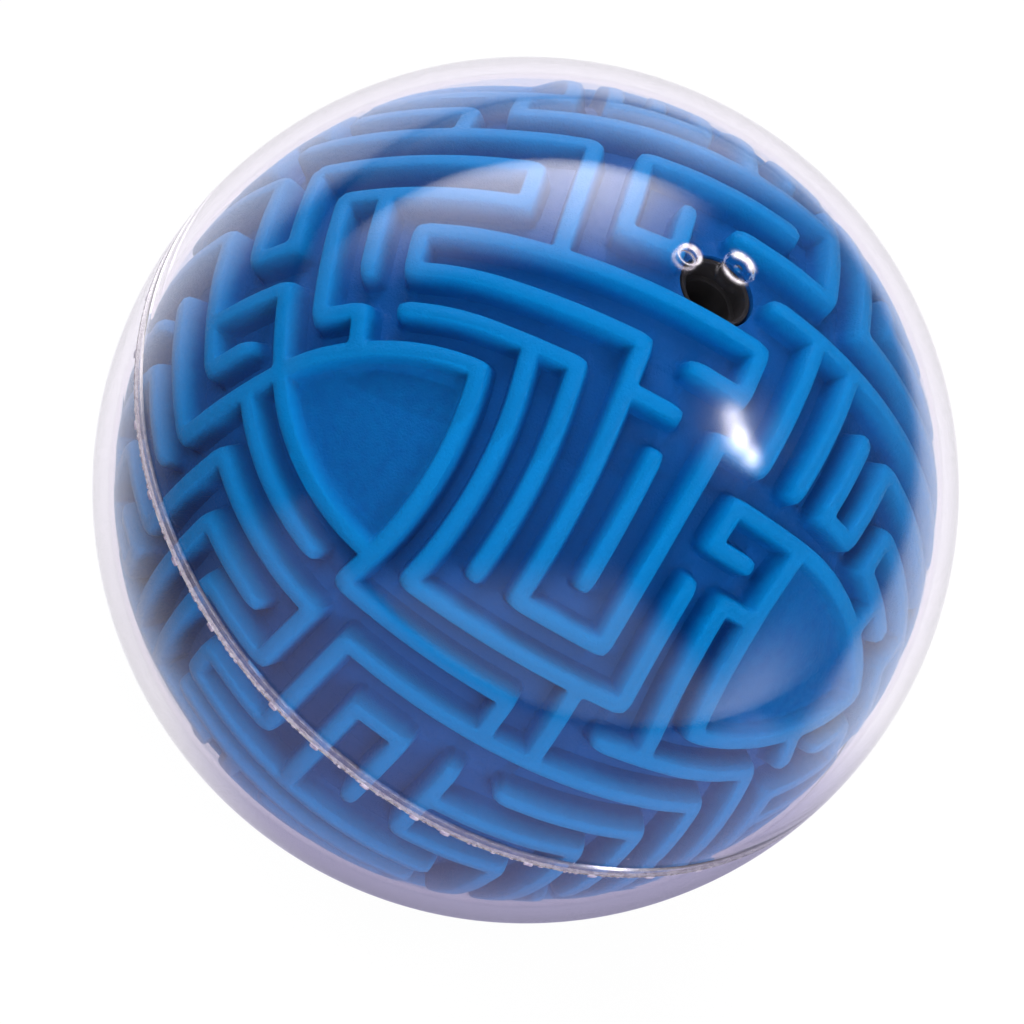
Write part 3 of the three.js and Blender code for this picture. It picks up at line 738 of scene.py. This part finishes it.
def make_shell_half(node, profile, side, clear):
    """Turns the profile, presses in the marks at the pole, paints highlights on their rims and frosts the
    step.
    """
    points, faces = revolve(profile, SHELL_SEGMENTS)
    lengths = np.linalg.norm(points, axis=1)
    outside = lengths > SHELL_R - SHELL_THICKNESS / 2
    at_pole = points[:, 2] > SHELL_R / 2

    from_gate = np.hypot(points[:, 0], points[:, 1])
    nub = GATE_DEPTH * GATE_NUB_SHARE * smooth_fall(from_gate, 0, GATE_NUB_R)
    sink = np.where(outside & at_pole, dimple(from_gate, GATE_R, GATE_DEPTH) - nub, 0.0)
    # Painted highlight: bright crescents on the gate's rim, in the milky frost colour.
    gate_rim_highlight = rim_highlight(from_gate, GATE_RIM_R, GATE_RIM_WIDTH) * crescents(points)
    frost_and_rim_highlight = np.where(outside & at_pole, gate_rim_highlight, 0.0)
    if side > 0:
        from_pip = np.hypot(points[:, 0] - PIP_CENTRE[0], points[:, 1] - PIP_CENTRE[1])
        pip = dimple(from_pip, PIP_R, PIP_DEPTH)
        sink += np.where(at_pole, np.where(outside, pip, -PIP_INSIDE_SHARE * pip), 0.0)
        # Painted highlight on the pip's rim.
        pip_rim_highlight = rim_highlight(from_pip, PIP_RIM_R, PIP_RIM_WIDTH) * np.where(outside, *PIP_RIM_HIGHLIGHT)
        frost_and_rim_highlight = np.maximum(frost_and_rim_highlight, np.where(at_pole, pip_rim_highlight, 0.0))

    sunk = points * (1 - sink / lengths)[:, None]
    levels = [REBATE_TOP_Z, -TONGUE_TOP_Z, -FLASH_Z, SEAM_HALF_GAP]
    on_level = np.min(np.abs(sunk[:, 2:] - levels), axis=1) < 1e-6
    in_wall = lengths > SHELL_R - SHELL_THICKNESS + 0.1 * MM
    in_step = in_wall & (lengths < SHELL_R - 0.2 * MM)
    frost_and_rim_highlight = np.where(in_step, STEP_FROST, frost_and_rim_highlight)
    frost_and_rim_highlight = np.where(on_level & in_wall, LEVEL_FROST, frost_and_rim_highlight)

    piece = make_object(node + "_fine", sunk * (1, 1, side), faces)
    outward(piece)
    layer = piece.data.attributes.new("frost_and_rim_highlight", "FLOAT", "POINT")
    layer.data.foreach_set("value", frost_and_rim_highlight.astype(np.float32))
    dress(piece, clear, CASE, "clear_plastic", node)
    piece.data.set_sharp_from_angle(angle=SHELL_SHARP)


def weld_beads(plastic):
    """Small uneven beads of melt in the weld, just below the joint and inside the lower half's wall."""
    rng = np.random.default_rng(11)
    points, faces = [], []
    ball_points, ball_faces = revolve(ball_profile(1.0, BEAD_POINTS), BEAD_SEGMENTS)
    bead_points = np.sign(ball_points) * np.abs(ball_points) ** BEAD_BOXINESS
    turn = 0.0
    until_blob = 3.0 * MM
    while turn < 2 * math.pi:
        half_width = rng.uniform(*BEAD_HALF_WIDTHS)
        half_height = rng.uniform(*BEAD_HALF_HEIGHTS)
        if until_blob < 0:
            half_width, half_height = BLOB_HALF_WIDTH, BLOB_HALF_HEIGHT
            until_blob = rng.uniform(*BLOB_SPACINGS)
        centre_z = -SEAM_HALF_GAP - 0.02 * MM - half_height
        faces += [tuple(v + len(points) for v in face) for face in ball_faces]
        for along, z, out in bead_points:
            angle = turn + along * half_width / SHELL_R
            radius = SHELL_R - BEAD_DEPTH + out * BEAD_HALF_DEPTH
            points.append((radius * math.cos(angle), radius * math.sin(angle), centre_z + z * half_height))
        step = 2 * half_width + rng.choice(BEAD_GAPS)
        turn += step / SHELL_R
        until_blob -= step
    piece = make_object("weld_beads_fine", points, faces)
    outward(piece)
    dress(piece, plastic, CASE, "clear_plastic", "shell_lower")


def cups(black):
    """Black cups under the holes at both poles: a rounded mouth, a step and a plain bore."""
    z = [v * MM for v in (35.4, 36.6, 38.4, 39.6, 41.6, 44.1)]
    bottom, floor, flange_low, flange_top, step, rim = z
    outer_r, flange_r, bore_r, mouth_r, ease = 4.3 * MM, 6.4 * MM, 3.2 * MM, 3.7 * MM, 0.2 * MM
    profile = [
        (0, bottom), (outer_r - ease, bottom), (outer_r, bottom + ease),
        (outer_r, flange_low), (flange_r - ease, flange_low), (flange_r, flange_low + ease),
        (flange_r, flange_top - ease), (flange_r - ease, flange_top), (outer_r, flange_top),
        (outer_r, rim - ease), (outer_r - 0.3 * ease, rim - 0.3 * ease), (outer_r - ease, rim),
        (mouth_r + ease, rim), (mouth_r + 0.3 * ease, rim - 0.3 * ease), (mouth_r, rim - ease),
        (mouth_r, step), (bore_r + ease, step), (bore_r, step - ease),
        (bore_r, floor + 3 * ease), (bore_r - ease, floor + ease), (bore_r - 3 * ease, floor), (0, floor),
    ]
    for node, side in (("cup_upper", 1), ("cup_lower", -1)):
        points, faces = revolve(profile, TURNED_SEGMENTS)
        piece = make_object(node + "_fine", points * (1, 1, side), faces)
        outward(piece)
        dress(piece, black, CASE, "black_plastic", node)
        piece.data.set_sharp_from_angle(angle=CUP_SHARP)


def steel_ball(steel):
    low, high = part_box("steel_ball")
    centre, radius = (low + high) / 2, (high.z - low.z) / 2
    points, faces = revolve(ball_profile(radius, STEEL_POINTS), STEEL_SEGMENTS)
    piece = make_object("steel_ball_fine", points + np.array(centre), faces)
    outward(piece)
    dress(piece, steel, BALL, "polished_steel", "steel_ball")


# ------------------------------------------------------------------ stage, light, camera

# The camera's axes in the row frame: the way to it from the ball, its right and its top.
TO_CAMERA = Vector((0.6422, -0.2254, 0.7327))
CAMERA_RIGHT = Vector((-0.2402, 0.8485, 0.4715))
CAMERA_TOP = Vector((-0.7280, -0.4788, 0.4908))
CAMERA_DISTANCE = 0.801
CAMERA_LENS_MM = 243.7
CAMERA_SHIFT = (-0.0132, -0.0215)

# Square area lights: direction along the camera's axes (right, top, towards), size in metres and power.
LIGHT_DISTANCE = 0.9
AREA_LIGHTS = {
    "fill": ((-0.25, 0.45, 1.0), 0.6, 6.5),
    "key": ((0.25, 0.95, 0.35), 0.5, 5.5),
    "low_fill": ((0.5, -0.55, 0.75), 0.6, 8.0),
}

# Brightness of what the clear plastic mirrors and bends.
SOFTBOX_RADIANCE = 4.6
# Where the softbox's edges fade in, over its height, and how far its front edge slants.
BOX_FRONT, BOX_BACK, BOX_LEFT, BOX_RIGHT = (-0.125, -0.095), (0.6, -0.1), (-0.95, 0.05), (0.72, 0.2)
BOX_SLANT = 0.19
LAMP_RADIANCE = 32.0
# Direction along the camera's axes, tightness and share of the radiance of each spot of the lamp.
LAMP_SPOTS = [
    ((0.81, 0.28, 0.5), 900.0, 0.35),
    ((0.83, 0.2, 0.5), 1100.0, 0.85),
    ((0.87, 0.13, 0.46), 1500.0, 0.6),
    ((0.82, 0.24, 0.5), 110.0, 0.06),
]
ROOM_RADIANCE = 0.55
CORNER_RADIANCE = 1.2
CORNER_WAY = (0.74, -0.67, 0.05)
BACK_RADIANCE = 1.0
FRONT_RADIANCE = 0.05
TABLE_RADIANCE = 1.05
NEAR_TABLE_RADIANCE = 0.75
BAND_TABLE_RADIANCE = 0.5


def camera():
    data = bpy.data.cameras.new("camera")
    data.sensor_width = 36
    data.lens = CAMERA_LENS_MM
    data.shift_x, data.shift_y = CAMERA_SHIFT
    item = bpy.data.objects.new("camera", data)
    bpy.context.scene.collection.objects.link(item)
    axes = Matrix((CAMERA_RIGHT, CAMERA_TOP, TO_CAMERA)).transposed().to_4x4()
    item.matrix_world = Matrix.Translation(TO_CAMERA * CAMERA_DISTANCE) @ axes
    bpy.context.scene.camera = item


def from_camera(right, top, towards):
    """A direction given along the camera's axes, in the row frame."""
    return (CAMERA_RIGHT * right + CAMERA_TOP * top + TO_CAMERA * towards).normalized()


def area_light(name, way, size, power):
    """A square light that points at the ball. Mirrors and the clear plastic don't show the light itself."""
    data = bpy.data.lights.new(name, "AREA")
    data.shape = "RECTANGLE"
    data.size, data.size_y = size, size
    data.energy = power
    item = bpy.data.objects.new(name, data)
    bpy.context.scene.collection.objects.link(item)
    direction = from_camera(*way)
    item.location = direction * LIGHT_DISTANCE
    item.rotation_euler = (-direction).to_track_quat("-Z", "Y").to_euler()
    item.visible_glossy = False
    item.visible_transmission = False


def lights():
    for name, (way, size, power) in AREA_LIGHTS.items():
        area_light(name, way, size, power)
    bpy.context.scene.world = studio()


def softbox(n, right, top, towards):
    """Brightness of a softbox on a level ceiling: places on it are (right, towards) over the height."""
    height = n.math("MAXIMUM", top, 0.02)
    across = n.math("DIVIDE", right, height)
    along_box = n.math("DIVIDE", towards, height)
    edge = n.math("ADD", along_box, n.math("MULTIPLY", across, BOX_SLANT))
    box = n.math("MULTIPLY", n.window(edge, *BOX_FRONT), n.window(along_box, *BOX_BACK))
    box = n.math("MULTIPLY", box, n.window(across, *BOX_LEFT))
    box = n.math("MULTIPLY", box, n.window(across, *BOX_RIGHT))
    return n.math("MULTIPLY", box, SOFTBOX_RADIANCE)


def lamp(n, way):
    """Brightness of a lamp aside: a short row of bright spots that fade outwards, in a faint wide one."""
    total = 0.0
    for place, tightness, share in LAMP_SPOTS:
        spot = n.math("MAXIMUM", n.along(way, from_camera(*place)), 0.0)
        glare = n.math("POWER", spot, tightness)
        total = n.math("ADD", total, n.math("MULTIPLY", glare, share * LAMP_RADIANCE))
    return total


def room(n, way, right, top):
    """The pale part of the room below the picture, with a dark end on the right, and a paler corner."""
    bend = n.math("MULTIPLY", n.math("MAXIMUM", n.math("SUBTRACT", right, 0.4), 0.0), 1.1)
    pale = n.math("MULTIPLY", n.window(n.math("ADD", top, bend), -0.28, -0.52), ROOM_RADIANCE)
    corner = n.math("POWER", n.math("MAXIMUM", n.along(way, from_camera(*CORNER_WAY)), 0.0), 60.0)
    return n.math("ADD", pale, n.math("MULTIPLY", corner, CORNER_RADIANCE))


def backdrop(n, right, top, towards):
    """White behind the ball, dark towards the camera and far to the right, and dimmer above the ball."""
    glow = n.fade(towards, -0.35, 0.35, BACK_RADIANCE, FRONT_RADIANCE)
    above = n.fade(top, -0.2, 0.8, 1.0, 0.3)
    aside = n.fade(right, 0.38, 0.58, 1.0, 0.1)
    dim = n.blend(n.window(towards, -0.6, -0.25), 1.0, above)
    return n.math("MULTIPLY", n.math("MULTIPLY", glow, dim), aside)


def studio():
    """Plain white to the camera. Mirrors and the clear plastic see backdrop, softbox, lamp and room."""
    n = Nodes("studio", world=True)
    way = n.add("TexCoord").outputs["Generated"]
    right, top, towards = n.along(way, CAMERA_RIGHT), n.along(way, CAMERA_TOP), n.along(way, TO_CAMERA)
    total = n.math("ADD", backdrop(n, right, top, towards), softbox(n, right, top, towards))
    total = n.math("ADD", total, lamp(n, way))
    total = n.math("ADD", total, room(n, way, right, top))
    seen = n.add("LightPath").outputs["Is Camera Ray"]
    back = n.add("Background", Color=(1, 0.975, 1, 1), Strength=n.blend(seen, total, 1.0))
    return n.finish(back.outputs[0])


def floor():
    reach, lift = 6.0, 1e-5
    z = CAD_BOX[0].z - lift
    steps = np.linspace(-reach, reach, 9)
    points = [(x, y, z) for x in steps for y in steps]
    piece = make_object("floor", points, grid_faces(9, 9, 0), white_floor())


bpy.context.scene.view_settings.view_transform = "Standard"
camera()
lights()
floor()
maze(blue_plastic())
shell(clear_plastic())
weld_beads(weld_plastic())
cups(black_plastic())
steel_ball(polished_steel())
